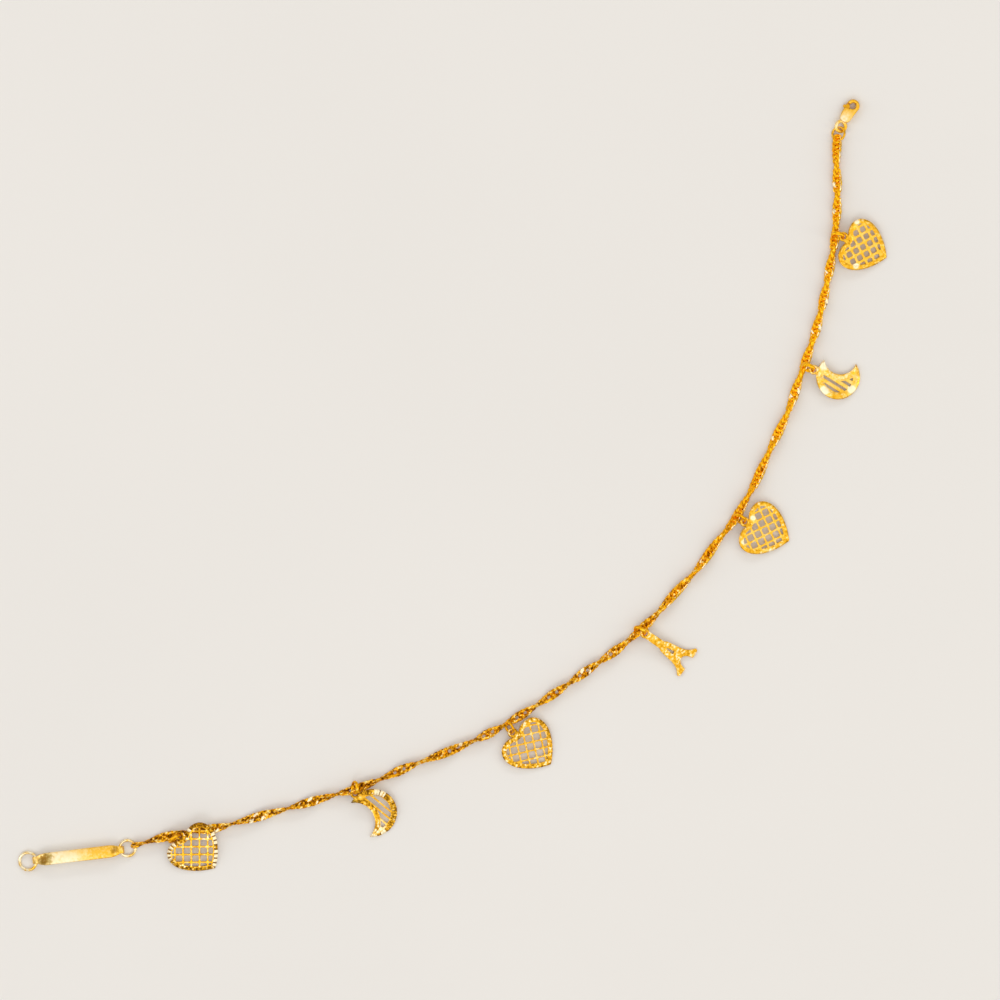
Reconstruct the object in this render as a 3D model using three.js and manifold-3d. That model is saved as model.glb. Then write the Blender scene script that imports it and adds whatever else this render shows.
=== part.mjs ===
// A yellow gold charm anklet, unclasped and laid open on a flat surface: a polished extender
// bar between two rings, a twisted chain with seven flat charms on jump rings, and a lobster
// clasp with a sprung lever. Millimetres: the surface is Z = 0 and Z points up.
import * as THREE from "three";
import { mergeVertices } from "three/addons/utils/BufferGeometryUtils.js";
import Module from "manifold-3d";

const wasm = await Module();
wasm.setup();

// ---------------------------------------------------------------- driving dimensions

const CHAIN = { radius: 1.05, sides: 8, steps: 60 };

// Middle of the chain seen from above, from the extender's ring to the clasp's ring.
const CHAIN_ROUTE = [
  [-66.4, -75.4], [-60.4, -73.7], [-53.5, -72.4], [-49.9, -71.9], [-45.0, -70.6],
  [-33.8, -67.5], [-25.2, -65.0], [-20.5, -63.7], [-15.7, -61.8], [-8.8, -58.8],
  [-0.4, -55.6], [7.6, -52.0], [13.1, -48.9], [20.0, -44.5], [29.2, -38.1],
  [35.5, -33.6], [41.8, -28.0], [46.7, -22.5], [51.4, -17.4], [55.7, -11.5],
  [59.1, -7.2], [61.0, -3.9], [63.5, 0.7], [66.7, 7.8], [70.3, 15.4], [72.6, 22.0],
  [76.5, 33.7], [79.1, 45.5], [80.2, 52.2], [80.7, 61.0], [80.5, 68.4], [80.7, 73.3],
];

const WIRE_SIDES = 8;
const RING_STEPS = 18;
const CLEARANCE = 0.12; // between a ring's wire and the chain that it threads

// Rings of round wire: radius to the middle of the wire, and radius of the wire.
const CHARM_RING = { radius: 1.25, wire: 0.22 };
const END_RING = { radius: 1.84, wire: 0.29, at: [-89.16, -78.83] };
const BAR_RING = { radius: 1.66, wire: 0.28, at: [-68.28, -76.1] };
const CHAIN_END_RING = { radius: 1.48, wire: 0.22, at: [80.94, 73.86], pitch: 30 };

// The extender bar: its rolled eyes lie at both ends of a line from `from` to `to`.
const BAR = {
  from: [-87.42, -78.56],
  to: [-69.78, -76.45],
  width: 2.6,
  thickness: 0.45,
  arch: 0.6, // rise of the middle over the eyes
  slopes: [2.6, 1.9], // length of the slope at each end
  eyeOuter: 0.81,
  eyeBore: 0.57,
  eyeWidth: 1.45,
};

const HEART = {
  notch: [-3.2, 0],
  side: [-1.35, 5.7],
  tip: [5.8, 0],
  lobeBends: [[-5.0, 1.4], [-5.0, 5.7]],
  sideBends: [[1.2, 5.7], [4.2, 3.0]],
  thickness: 0.5,
  rim: 1.0,
  notchRim: 0.55,
  barPitch: 1.72,
  barsEachWay: 6,
};

// A moon is a disc with a round bite out of it, on the disc's -X side. Its window stays a rim
// inside the disc's edge and an inner rim away from the bite's.
const MOONS = {
  thickness: 0.5,
  barPitch: 1.3,
  barsAcross: 6,
  first: { radius: 5.1, bite: 4.45, biteAt: -4.5, rim: 1.3, innerRim: 1.15, slant: -69, offset: 0.64, bar: 0.36 },
  second: { radius: 4.7, bite: 3.6, biteAt: -4.2, rim: 1.5, innerRim: 1.4, slant: 66.7, offset: -0.17, bar: 0.72 },
};

const LATTICE = { low: 0.09, high: 0.41 }; // heights of a charm's thin bars

const EYE = { outer: 1.05, hole: 0.58, neck: 0.8 };

// Half the outline of the tower charm, from its top to the middle of its arch: distance
// down the tower, distance from its middle line.
const TOWER = {
  outline: [
    [0.2, 0.84], [4.2, 0.9], [4.5, 1.2], [5.9, 1.47], [7.8, 1.72], [8.8, 2.0], [9.7, 2.5],
    [10.6, 3.5], [11.1, 3.2], [11.15, 1.4], [10.5, 1.32], [9.8, 1.05], [9.25, 0.55], [9.1, 0],
  ],
  window: [[5.35, 0.06], [5.35, -0.06], [6.95, -0.34], [7.15, -0.26], [7.15, 0.26], [6.95, 0.34]],
  thickness: 0.5,
  eye: [-0.25, 0],
};

// Each charm: where its own origin and its eye lie, the way its axis points, the way it rises off
// the surface and by how much, and how its ring is turned from the line to the chain and tilted.
const CHARMS = [
  { name: "heart_charm_1", at: [-54.0, -76.3], points: -45, eye: [-4.6, -0.1],
    rises: 100, lean: 16, ringTurn: 90, ringPitch: 76 },
  { name: "moon_charm_1", at: [-16.8, -68.6], points: 29, eye: [-1.28, 5.5],
    rises: 125, lean: 12.5, ringTurn: -14, ringPitch: 65 },
  { name: "heart_charm_2", at: [16.17, -54.65], points: -41, eye: [-4.7, -0.25],
    rises: 139, lean: 7.5, ringTurn: 0, ringPitch: 58 },
  { name: "tower_charm", at: [40.5, -31.1], points: -34.5, eye: [-0.25, 0],
    rises: 145.5, lean: 11.5, ringTurn: 17, ringPitch: 65 },
  { name: "heart_charm_3", at: [65.3, -9.3], points: -23, eye: [-4.5, 0],
    rises: 157, lean: 9, ringTurn: 0, ringPitch: 58 },
  { name: "moon_charm_2", at: [80.8, 22.8], points: -97.5, eye: [-0.84, -5.4],
    rises: 170, lean: 11, ringTurn: 0, ringPitch: 65 },
  { name: "heart_charm_4", at: [85.97, 50.14], points: -23.5, eye: [-4.65, 0.29],
    rises: 156.5, lean: 11.5, ringTurn: 0, ringPitch: 65 },
];

// Each heart's size, and its lattice: the bars' direction, the place of its middle, their width.
const HEARTS = {
  heart_charm_1: { size: 1, grid: 45, middle: [0.11, -0.13], bar: 0.42 },
  heart_charm_2: { size: 1.01, grid: 54, middle: [0.08, -0.01], bar: 0.38 },
  heart_charm_3: { size: 1, grid: 49, middle: [0.25, 0], bar: 0.46 },
  heart_charm_4: { size: 0.97, grid: 52, middle: [0.04, -0.01], bar: 0.58 },
};

// The clasp in its own frame: X runs from the base to the hook, Y to the lever's side, and
// the origin is the middle of the hook's hole.
const CLASP = {
  at: [83.98, 79.67],
  points: 59,
  thickness: 1.5,
  hookRadius: 1.4,
  hookHole: [0.7, 0.6],
  body: [
    [0.4, -1.34], [-1.4, -1.16], [-3.2, -1.0], [-3.7, -0.75], [-3.85, -0.2], [-3.85, 0.4],
    [-3.65, 0.9], [-3.2, 1.15], [-2.3, 1.36], [-1.2, 1.32], [0.4, 1.2],
  ],
  mouth: { from: -0.92, to: 0.12, inner: 0.25 },
  slot: { from: -3.0, to: -0.8, inner: -0.86, low: 0.42, high: 1.08 },
  pivot: [-2.1, -0.1],
  pin: 0.28,
  eye: { at: [-4.96, 0], outer: 1.38, hole: 0.7, thickness: 0.36, height: 0.96, tilt: -20 },
};

const LEVER = {
  low: 0.52,
  high: 0.98,
  hub: 0.62,
  bore: 0.38,
  arm: [[-2.45, 0.35], [-1.75, -0.5], [-1.0, 0.26], [-0.1, 0.66], [-0.04, 1.2], [-1.1, 1.28]],
  tab: [[-1.2, 1.1], [-1.28, 1.62], [-1.05, 1.86], [-0.72, 1.86], [-0.5, 1.6], [-0.45, 1.1]],
};

const GOLD = new THREE.Color("#e3a935");

// ---------------------------------------------------------------- solids

const radians = THREE.MathUtils.degToRad;

// A closed geometry as a manifold-3d solid.
function solid(geometry) {
  const bare = geometry.index ? geometry.toNonIndexed() : geometry.clone();
  bare.deleteAttribute("normal");
  bare.deleteAttribute("uv");
  const merged = mergeVertices(bare, 1e-5);
  return new wasm.Manifold(
    new wasm.Mesh({
      numProp: 3,
      vertProperties: merged.attributes.position.array,
      triVerts: new Uint32Array(merged.index.array),
    }),
  );
}

// A manifold-3d solid as a geometry again.
function geometryOf(made) {
  const mesh = made.getMesh();
  const points = new Float32Array(mesh.numVert * 3);
  for (let i = 0; i < mesh.numVert; i++) {
    const start = i * mesh.numProp;
    points.set(mesh.vertProperties.subarray(start, start + 3), i * 3);
  }
  const geometry = new THREE.BufferGeometry();
  geometry.setAttribute("position", new THREE.BufferAttribute(points, 3));
  geometry.setIndex(new THREE.BufferAttribute(mesh.triVerts, 1));
  return geometry;
}

// A flat outline made solid between two heights.
function slab(shape, low, high, curveSegments = 12) {
  const depth = high - low;
  const geometry = new THREE.ExtrudeGeometry(shape, { depth, bevelEnabled: false, curveSegments });
  return solid(geometry.translate(0, 0, low));
}

function polygon(points) {
  return new THREE.Shape(points.map(([x, y]) => new THREE.Vector2(x, y)));
}

function disc([x, y], radius, stretch = 1) {
  return new THREE.Shape().absellipse(x, y, radius * stretch, radius, 0, 2 * Math.PI);
}

function rectangle(x0, x1, y0, y1) {
  return polygon([[x0, y0], [x1, y0], [x1, y1], [x0, y1]]);
}

function torus({ radius, wire }, extra = 0) {
  return new THREE.TorusGeometry(radius, wire + extra, WIRE_SIDES, RING_STEPS);
}

function goldMesh(name, geometry, roughness = 0.25) {
  const material = new THREE.MeshStandardMaterial({ color: GOLD, roughness, metalness: 1 });
  const mesh = new THREE.Mesh(geometry, material);
  mesh.name = name;
  return mesh;
}

// The points of an outline moved inwards, each along the middle of its two edges' normals.
function inset(points, distance) {
  const count = points.length;
  return points.map((point, i) => {
    const before = points[(i + count - 1) % count];
    const after = points[(i + 1) % count];
    const along = after.clone().sub(before).normalize();
    return new THREE.Vector2(point.x - along.y * distance, point.y + along.x * distance);
  });
}

// ---------------------------------------------------------------- charms, flat at Z = 0

// The small eye that a charm's ring goes through, and the neck that joins it to the charm.
function withEye(charm, [x, y], thickness, neckTo) {
  const along = new THREE.Vector2(neckTo[0] - x, neckTo[1] - y);
  const side = new THREE.Vector2(-along.y, along.x).setLength(EYE.neck);
  const neck = polygon([
    [x + side.x, y + side.y],
    [x - side.x, y - side.y],
    [neckTo[0] - side.x, neckTo[1] - side.y],
    [neckTo[0] + side.x, neckTo[1] + side.y],
  ]);
  const hole = slab(disc([x, y], EYE.hole), -1, thickness + 1, 8);
  return charm
    .add(slab(neck, 0, thickness))
    .add(slab(disc([x, y], EYE.outer), 0, thickness, 8))
    .subtract(hole);
}

// Straight bars side by side, `bar` wide and `pitch` apart, turned to `angle` degrees.
function bars(count, pitch, bar, angle, [middleX, middleY]) {
  const reach = 8;
  const depth = LATTICE.high - LATTICE.low;
  let made = null;
  for (let i = 0; i < count; i++) {
    const middle = (i - (count - 1) / 2) * pitch;
    const strip = rectangle(-reach, reach, middle - bar / 2, middle + bar / 2);
    const geometry = new THREE.ExtrudeGeometry(strip, { depth, bevelEnabled: false });
    geometry.rotateZ(radians(angle)).translate(middleX, middleY, LATTICE.low);
    made = made ? made.add(solid(geometry)) : solid(geometry);
  }
  return made;
}

// A heart's outline with its tip along X, and the same outline a rim's width further in.
function heartOutlines(size, share) {
  const { notch, side, tip, lobeBends, sideBends, rim, notchRim } = HEART;
  const mirrored = ([x, y]) => [x, -y];
  const heart = new THREE.Shape().moveTo(...tip);
  heart.bezierCurveTo(...sideBends[1], ...sideBends[0], ...side);
  heart.bezierCurveTo(...lobeBends[1], ...lobeBends[0], ...notch);
  heart.bezierCurveTo(...mirrored(lobeBends[0]), ...mirrored(lobeBends[1]), ...mirrored(side));
  heart.bezierCurveTo(...mirrored(sideBends[0]), ...mirrored(sideBends[1]), ...tip);
  const outer = heart.getPoints(8).slice(0, -1);
  const inner = inset(outer, rim * share).map((point, i) =>
    i === outer.length / 2 ? new THREE.Vector2(notch[0] + notchRim * share, 0) : point,
  );
  return [outer, inner].map((points) => new THREE.Shape(points.map((p) => p.multiplyScalar(size))));
}

// A heart: a solid rim round a sunk lattice, cut through between its bars.
function heartCharm({ eye }, { size, grid, middle, bar }) {
  const { thickness, barPitch, barsEachWay, notch } = HEART;
  const [outer, window] = heartOutlines(size, 1);
  const held = slab(heartOutlines(size, 0.6)[1], LATTICE.low, LATTICE.high);
  const lattice = bars(barsEachWay, barPitch * size, bar, grid, middle)
    .add(bars(barsEachWay, barPitch * size, bar, grid + 90, middle))
    .intersect(held);
  const frame = slab(outer, 0, thickness).subtract(slab(window, -1, thickness + 1));
  return withEye(frame, eye, thickness, notch).add(lattice);
}

// A crescent with its horns along -X, cut through in strips between slanted bars.
function moonCharm({ eye }, { radius, bite, biteAt, rim, innerRim, slant, offset, bar }) {
  const { thickness, barPitch, barsAcross } = MOONS;
  const crescent = (edge, innerEdge) =>
    slab(disc([0, 0], radius - edge), 0, thickness, 20).subtract(
      slab(disc([biteAt, 0], bite + innerEdge), -1, thickness + 1, 24),
    );
  const normal = radians(slant + 90);
  const aside = [offset * Math.cos(normal), offset * Math.sin(normal)];
  const cross = bars(barsAcross, barPitch, bar, slant, aside)
    .intersect(crescent(rim / 2, innerRim / 2));
  const neckTo = [eye[0] * 0.84, eye[1] * 0.84];
  const frame = crescent(0, 0).subtract(crescent(rim, innerRim));
  return withEye(frame, eye, thickness, neckTo).add(cross);
}

// A tapering tower with spread feet over an arch; its top is along -X.
function towerCharm({ eye }) {
  const { outline, window, thickness } = TOWER;
  const other = outline.slice(0, -1).reverse().map(([x, y]) => [x, -y]);
  const tower = slab(polygon([...outline, ...other].reverse()), 0, thickness);
  const gap = slab(polygon(window), -1, thickness + 1);
  return withEye(tower.subtract(gap), eye, thickness, [0.9, 0]);
}

function charmSolid(row) {
  if (row.name in HEARTS) return heartCharm(row, HEARTS[row.name]);
  if (row.name === "moon_charm_1") return moonCharm(row, MOONS.first);
  if (row.name === "moon_charm_2") return moonCharm(row, MOONS.second);
  return towerCharm(row);
}

// A charm laid down: tilted so that it climbs towards `rises`, and touching the surface.
function laidCharm(row) {
  const mesh = goldMesh(row.name, geometryOf(charmSolid(row)));
  mesh.rotation.z = radians(row.points);
  const tilt = new THREE.Group().add(mesh);
  const climb = radians(row.rises);
  const hinge = new THREE.Vector3(Math.sin(climb), -Math.cos(climb), 0);
  tilt.quaternion.setFromAxisAngle(hinge, radians(row.lean));
  tilt.position.set(row.at[0], row.at[1], 0);
  tilt.updateMatrixWorld(true);
  tilt.position.z = -new THREE.Box3().setFromObject(tilt, true).min.z;
  tilt.updateMatrixWorld(true);
  return tilt;
}

// ---------------------------------------------------------------- chain and rings

const route = new THREE.CatmullRomCurve3(
  CHAIN_ROUTE.map(([x, y]) => new THREE.Vector3(x, y, CHAIN.radius)),
  false,
  "centripetal",
);

// The chain's twisted links turn inside this round envelope, which follows their route.
function chainTube() {
  const flat = Math.PI / CHAIN.sides;
  const corner = CHAIN.radius / Math.cos(flat);
  const section = [];
  for (let i = 0; i < CHAIN.sides; i++) {
    const angle = flat + (i * 2 * Math.PI) / CHAIN.sides;
    section.push([corner * Math.cos(angle), corner * Math.sin(angle)]);
  }
  return solid(
    new THREE.ExtrudeGeometry(polygon(section), {
      steps: CHAIN.steps,
      extrudePath: route,
      bevelEnabled: false,
    }),
  );
}

// A ring whose plane holds the level direction `heading` and climbs at `pitch` across it.
function placedRing(name, size, centre, heading, pitch) {
  const mesh = goldMesh(name, torus(size), 0.2);
  mesh.position.copy(centre);
  mesh.rotation.set(radians(pitch), 0, heading, "ZYX");
  mesh.updateMatrixWorld(true);
  return mesh;
}

function nearestOnRoute(point) {
  let best = null;
  for (const spot of route.getSpacedPoints(1000)) {
    const distance = Math.hypot(point.x - spot.x, point.y - spot.y);
    if (!best || distance < best.distance) best = { spot, distance };
  }
  return best.spot;
}

// The jump ring of a laid charm: it goes through the charm's eye and the nearest chain link.
function charmRing(row, charm, number) {
  const eye = charm.children[0].localToWorld(new THREE.Vector3(...row.eye, HEART.thickness / 2));
  const spot = nearestOnRoute(eye);
  const across = Math.atan2(eye.y - spot.y, eye.x - spot.x);
  const heading = across + radians(row.ringTurn);
  const centre = eye.clone();
  centre.x -= CHARM_RING.radius * Math.cos(heading);
  centre.y -= CHARM_RING.radius * Math.sin(heading);
  return placedRing(`charm_ring_${number}`, CHARM_RING, centre, heading, row.ringPitch);
}

// The space that a ring's wire needs, as a solid in place.
function roomFor(ring, size) {
  return solid(torus(size, CLEARANCE).applyMatrix4(ring.matrixWorld));
}

// ---------------------------------------------------------------- extender bar

// A flat strip bridging two rolled eyes, drawn from the side along X and trimmed to its outline.
function extenderBar() {
  const { from, to, width, thickness, arch, slopes, eyeOuter, eyeBore, eyeWidth } = BAR;
  const length = Math.hypot(to[0] - from[0], to[1] - from[1]);
  const top = 2 * eyeOuter;
  const upper = [
    [0, top], [slopes[0], top + arch], [length - slopes[1], top + arch], [length, top],
  ];
  const lower = upper.map(([x, z]) => [x, z - thickness]).reverse();
  const across = new THREE.Matrix4().makeRotationX(Math.PI / 2).setPosition(0, width / 2, 0);
  const sideways = (shape, curve) =>
    solid(
      new THREE.ExtrudeGeometry(shape, { depth: width, bevelEnabled: false, curveSegments: curve })
        .applyMatrix4(across),
    );
  const plan = new THREE.Shape().moveTo(-eyeOuter, -eyeWidth / 2).lineTo(eyeOuter, -eyeWidth / 2);
  plan.quadraticCurveTo(slopes[0] * 0.6, -width / 2, slopes[0] + 1, -width / 2);
  plan.lineTo(length - slopes[1] - 1, -width / 2);
  plan.quadraticCurveTo(length - slopes[1] * 0.6, -width / 2, length - eyeOuter, -eyeWidth / 2);
  plan.lineTo(length + eyeOuter, -eyeWidth / 2).lineTo(length + eyeOuter, eyeWidth / 2);
  plan.lineTo(length - eyeOuter, eyeWidth / 2);
  plan.quadraticCurveTo(length - slopes[1] * 0.6, width / 2, length - slopes[1] - 1, width / 2);
  plan.lineTo(slopes[0] + 1, width / 2);
  plan.quadraticCurveTo(slopes[0] * 0.6, width / 2, eyeOuter, eyeWidth / 2);
  plan.lineTo(-eyeOuter, eyeWidth / 2);
  let made = sideways(polygon([...lower, ...upper]), 1);
  for (const x of [0, length]) made = made.add(sideways(disc([x, eyeOuter], eyeOuter), 10));
  for (const x of [0, length]) made = made.subtract(sideways(disc([x, eyeOuter], eyeBore), 10));
  made = made.intersect(slab(plan, -1, top + arch + 1, 6));
  const mesh = goldMesh("extender_bar", geometryOf(made), 0.12);
  mesh.position.set(from[0], from[1], 0);
  mesh.rotation.z = Math.atan2(to[1] - from[1], to[0] - from[0]);
  return mesh;
}

// A ring hung in one of the bar's eyes and resting on the surface at its far side.
function barRing(name, size, eye) {
  const away = Math.atan2(size.at[1] - eye[1], size.at[0] - eye[0]);
  const drop = BAR.eyeOuter - size.wire;
  const pitch = Math.asin(drop / (2 * size.radius));
  const centre = new THREE.Vector3(...size.at, BAR.eyeOuter - drop / 2);
  return placedRing(name, size, centre, away + Math.PI / 2, THREE.MathUtils.radToDeg(pitch));
}

// ---------------------------------------------------------------- clasp

function inClaspFrame(mesh) {
  mesh.position.set(CLASP.at[0], CLASP.at[1], 0);
  mesh.rotation.z = radians(CLASP.points);
  mesh.updateMatrixWorld(true);
  return mesh;
}

// A disc of the base eye, tilted about the line to the chain's end ring.
function claspEye(radius, thickness) {
  const { at, height, tilt } = CLASP.eye;
  const depth = thickness;
  const geometry = new THREE.ExtrudeGeometry(disc([0, 0], radius), { depth, bevelEnabled: false });
  const line = new THREE.Vector3(...CHAIN_END_RING.at, 0)
    .sub(new THREE.Vector3(...CLASP.at, 0))
    .applyAxisAngle(new THREE.Vector3(0, 0, 1), -radians(CLASP.points))
    .sub(new THREE.Vector3(...at, 0))
    .normalize();
  const tilted = new THREE.Matrix4().makeRotationAxis(line, radians(tilt)).setPosition(...at, height);
  return solid(geometry.translate(0, 0, -depth / 2).applyMatrix4(tilted));
}

function claspBody() {
  const { thickness, hookRadius, hookHole, body, mouth, slot, pivot, pin, eye } = CLASP;
  const hole = disc([0, 0], hookHole[1], hookHole[0] / hookHole[1]);
  const made = slab(disc([0, 0], hookRadius), 0, thickness, 14)
    .add(slab(polygon(body.slice().reverse()), 0, thickness))
    .subtract(slab(hole, -1, thickness + 1, 10))
    .subtract(slab(rectangle(mouth.from, mouth.to, mouth.inner, 2 * hookRadius), -1, thickness + 1))
    .subtract(slab(rectangle(slot.from, slot.to, slot.inner, 2 * hookRadius), slot.low, slot.high))
    .add(slab(disc(pivot, pin), slot.low / 2, (slot.high + thickness) / 2, 8))
    .add(claspEye(eye.outer, eye.thickness))
    .subtract(claspEye(eye.hole, 2 * eye.outer));
  return inClaspFrame(goldMesh("clasp_body", geometryOf(made)));
}

function claspLever() {
  const { low, high, hub, bore, arm, tab } = LEVER;
  const made = slab(disc(CLASP.pivot, hub), low, high, 8)
    .add(slab(polygon(arm), low, high))
    .add(slab(polygon(tab.slice().reverse()), low, high))
    .subtract(slab(disc(CLASP.pivot, bore), -1, CLASP.thickness + 1, 8));
  return inClaspFrame(goldMesh("clasp_lever", geometryOf(made)));
}

// The ring between the clasp's eye and the chain's last link.
function chainEndRing(clasp) {
  const { radius, wire, pitch, at } = CHAIN_END_RING;
  const eye = clasp.localToWorld(new THREE.Vector3(...CLASP.eye.at, 0));
  const away = Math.atan2(at[1] - eye.y, at[0] - eye.x);
  const centre = new THREE.Vector3(...at, wire + radius * Math.sin(radians(pitch)));
  return placedRing("chain_end_ring", CHAIN_END_RING, centre, away, pitch);
}

// ---------------------------------------------------------------- assembly

const anklet = new THREE.Group();

anklet.add(extenderBar());
anklet.add(barRing("end_ring", END_RING, BAR.from));
anklet.add(barRing("bar_ring", BAR_RING, BAR.to));

const clasp = claspBody();
const lastRing = chainEndRing(clasp);
anklet.add(clasp, claspLever(), lastRing);

let chain = chainTube().subtract(roomFor(lastRing, CHAIN_END_RING));
CHARMS.forEach((row, i) => {
  const charm = laidCharm(row);
  const ring = charmRing(row, charm, i + 1);
  anklet.add(charm, ring);
  chain = chain.subtract(roomFor(ring, CHARM_RING));
});
anklet.add(goldMesh("chain", geometryOf(chain)));

// The origin is under the middle of the whole anklet.
const middle = new THREE.Box3().setFromObject(anklet, true).getCenter(new THREE.Vector3());
anklet.position.set(-middle.x, -middle.y, 0);

export default anklet;
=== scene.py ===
"""The looks of a yellow gold charm anklet, lying unclasped in an open arc.

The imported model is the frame. The twisted chain gets its real links, and the charms, rings, bar
and clasp get cast, polished and diamond-cut surfaces. The tables are in millimetres, as a
jeweller measures, and every mesh is made in metres.
"""

import math

import bmesh
import bpy
import numpy as np
from mathutils import Matrix, Quaternion, Vector


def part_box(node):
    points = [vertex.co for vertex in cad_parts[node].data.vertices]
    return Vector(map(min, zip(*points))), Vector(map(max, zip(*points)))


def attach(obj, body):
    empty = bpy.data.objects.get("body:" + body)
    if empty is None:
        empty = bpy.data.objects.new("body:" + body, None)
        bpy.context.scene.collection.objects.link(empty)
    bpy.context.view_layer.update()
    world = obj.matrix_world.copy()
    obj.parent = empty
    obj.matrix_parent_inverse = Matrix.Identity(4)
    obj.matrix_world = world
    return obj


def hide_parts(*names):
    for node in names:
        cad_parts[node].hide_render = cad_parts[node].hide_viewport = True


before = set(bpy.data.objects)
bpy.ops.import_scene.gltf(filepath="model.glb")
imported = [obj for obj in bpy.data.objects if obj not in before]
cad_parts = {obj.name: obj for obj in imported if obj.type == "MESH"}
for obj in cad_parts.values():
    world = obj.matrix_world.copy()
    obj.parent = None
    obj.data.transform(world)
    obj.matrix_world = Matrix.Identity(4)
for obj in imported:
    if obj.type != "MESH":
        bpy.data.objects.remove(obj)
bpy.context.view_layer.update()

MM = 0.001
WELD = 0.0005  # points nearer than this are one
ANKLET = "anklet"  # the body that all but the lever ride on
LEVER = "lever"

# ---------------------------------------------------------------- driving dimensions

# Middle of the chain seen from above, from the extender's ring to the clasp's ring.
CHAIN_ROUTE = [
    (-66.4, -75.4), (-60.4, -73.7), (-53.5, -72.4), (-49.9, -71.9), (-45.0, -70.6),
    (-33.8, -67.5), (-25.2, -65.0), (-20.5, -63.7), (-15.7, -61.8), (-8.8, -58.8),
    (-0.4, -55.6), (7.6, -52.0), (13.1, -48.9), (20.0, -44.5), (29.2, -38.1),
    (35.5, -33.6), (41.8, -28.0), (46.7, -22.5), (51.4, -17.4), (55.7, -11.5),
    (59.1, -7.2), (61.0, -3.9), (63.5, 0.7), (66.7, 7.8), (70.3, 15.4), (72.6, 22.0),
    (76.5, 33.7), (79.1, 45.5), (80.2, 52.2), (80.7, 61.0), (80.5, 68.4), (80.7, 73.3),
]
# Where along the chain, from the bar, its twisted ribbon stands on edge.
ON_EDGE = [
    -6.0, 1.7, 12.0, 20.6, 32.9, 43.2, 53.2, 62.2, 74.5, 81.4, 89.6, 97.6, 105.6, 112.9, 121.8, 132.5,
    143.5, 152.9, 163.0, 172.0, 180.7, 187.3, 194.1, 200.3, 206.9, 212.8, 218.9, 225.3, 233.5,
]
LINK = {
    "half_length": 0.99, "half_width": 0.70, "wire_side": 0.33, "wire_end": 0.27,
    "wire_thick": 0.2, "weave": -0.2,
}
LINK_STEPS = 24  # points round a link
# The wire's section, grooved along both faces: across the ribbon and through it.
LINK_SECTION = [
    (1, 0), (0.78, 0.66), (0.4, 1), (0, 0.72), (-0.4, 1), (-0.78, 0.66),
    (-1, 0), (-0.78, -0.66), (-0.4, -1), (0, -0.72), (0.4, -1), (0.78, -0.66),
]
# The gaps between the links, counted from the bar: how far along some of them lie.
GAPS_AT = ((0, 7, 47, 57, 69, 109, 127, 232), (0.3, 7.3, 46.5, 56.5, 68.8, 108.4, 125.8, 231.2))
LINK_COUNT = 233
OPEN_GAPS = (47, 57, 59, 69, 71, 77, 79, 85, 87, 93, 95, 101, 103, 109)
SUNK_SHADED_GAPS = (41, 58, 111, 139, 160)  # closed, but sunk and given painted shade
LAST_SUNK_SHADED_RUN = 127  # up to here every other gap is sunk and given painted shade
FILLED_GAPS = (140, 170)  # between these the solder comes to fill the gaps
# A solder bead's half length, half width and half height, and what it gains in a filled gap.
SOLDER = ((0.34, 0.4, 0.2), (0.08, 0.14, 0.17))
DEEP_SOLDER_HEIGHT = 0.08
OPEN_GAP = {"reach": 0.8, "push": 0.18}  # how far round it, and by how much, the links give way
# The numbers of the chain's finishes: plain wire, diamond-cut faces with a painted glint, sunk gaps
# with painted shade, and the lower edge with a painted sheen.
WIRE, CUT, GAP_SHADE, EDGE_SHEEN = range(4)
# Where the diamond tool has cut a strand flat, its face given a painted glint: how far along, and 1
# for the ribbon's left side.
DIAMOND_CUTS = [
    (17.0, -1), (18.1, -1), (24.6, -1), (25.9, 1), (27.2, -1), (35.8, 1), (37.8, 1), (39.2, -1),
    (55.3, 1), (71.6, 1), (101.5, 1), (102.8, -1), (107.7, 1), (135.8, 1), (165.9, 1), (175.4, 1),
    (177.0, -1), (189.5, 1), (191.1, -1), (196.8, -1), (202.5, 1), (215.6, 1), (221.3, 1),
]
# How far along the ribbon, and how many times as thick as a link it is there.
CHAIN_THICKENS = ((0, 60, 150, 230), (0.75, 0.92, 1.3, 1.55))
CHAIN_HEIGHT = 1.06
STRAND = 0.62  # how far from the ribbon's middle a strand's own middle lies
CUT_REACH = 0.5  # of a diamond cut, each way
CUT_HEIGHT = 0.16  # of a diamond-cut face over the chain's middle
CUT_DEPTH = 0.25  # the most that such a cut takes off
EDGE_SHEEN_FROM = 118.0  # from here to the clasp the chain's lower edge has a painted even yellow sheen, as light from the right gives

RING_HEIGHTS = (0.01, 3.99)  # no ring's wire reaches past these
CHARM_RING = {"radius": 1.23, "wire": 0.265}
END_RING = {"radius": 1.815, "wire": 0.3, "at": (-89.16, -78.83)}
BAR_RING = {"radius": 1.66, "wire": 0.28, "at": (-68.28, -76.1)}
CHAIN_END_RING = {"radius": 1.41, "wire": 0.25, "at": (80.94, 73.86), "pitch": 30}

BAR = {
    "from": (-87.42, -78.56), "to": (-69.78, -76.45), "width": 2.6, "thickness": 0.45,
    "end_thickness": 0.34, "arch": 0.6, "slopes": (2.6, 1.9),
    "eye_outer": 0.81, "eye_bore": 0.57, "eye_width": 1.45,
}

HEART = {
    "notch": (-3.2, 0.0), "side": (-1.35, 5.7), "tip": (5.8, 0.0),
    "lobe_bends": ((-5.0, 1.4), (-5.0, 5.7)), "side_bends": ((1.2, 5.7), (4.2, 3.0)),
    "rim": 1.0, "bar_pitch": 1.72,
}
CHARM_THICKNESS = 0.5
LATTICE = (0.06, 0.44)  # the heights between which a charm's pierced middle lies
EYE = {"outer": 1.05, "hole": 0.46, "wire_height": 0.24, "neck": 0.85, "neck_heights": (0.03, 0.47)}
# The numbers of a charm's finishes: rim, pierced middle, facets with a painted glint, and facets that
# start with a line of painted shade.
RIM, PIERCED, GLINT_FACET, SHADED_FACET = range(4)

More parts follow.
